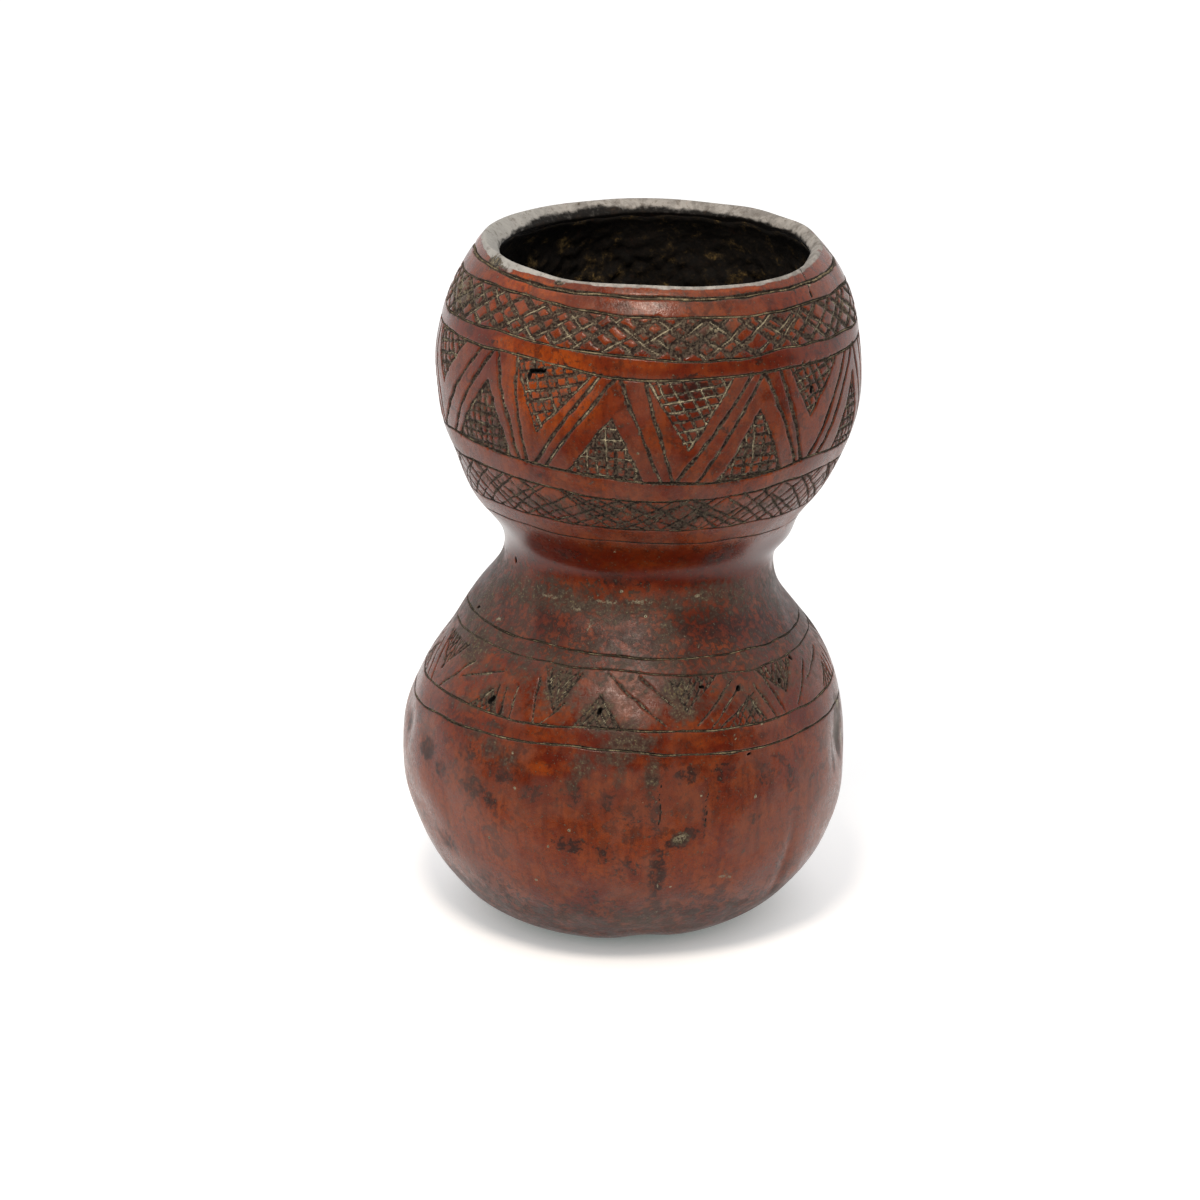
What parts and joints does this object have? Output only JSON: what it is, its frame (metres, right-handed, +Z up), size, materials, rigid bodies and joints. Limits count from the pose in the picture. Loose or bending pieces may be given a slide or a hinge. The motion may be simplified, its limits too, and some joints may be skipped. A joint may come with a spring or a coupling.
{
  "type": "gourd jug",
  "caption": "Waisted gourd jug, open at the top, its red-brown rind engraved with lattice and zigzag bands, used to hold or pour a drink.",
  "frame": {"origin": "middle of the flat that the jug stands on, under the lower bulb's axis", "axes": "+Z up from the standing flat to the mouth, -Y towards the front that the picture shows, +X to the right, the side that the upper bulb leans to"},
  "size_m": [0.1157, 0.1138, 0.1779],
  "materials": {
    "rind": "satin",
    "pulp": "matte",
    "filling": "matte"
  },
  "bodies": {
    "root": {"gourd_shell": "rind", "pulp_lining": "pulp", "belly_line_fill": "filling", "shoulder_band_bottom_fill": "filling", "shoulder_band_top_fill": "filling", "shoulder_line_fill": "filling", "waist_line_fill": "filling", "lower_lattice_bottom_fill": "filling", "lower_lattice_top_fill": "filling", "zigzag_bottom_fill": "filling", "zigzag_top_fill": "filling", "upper_lattice_bottom_fill": "filling", "upper_lattice_top_fill": "filling", "rim_line_fill": "filling"}
  },
  "joints": []
}
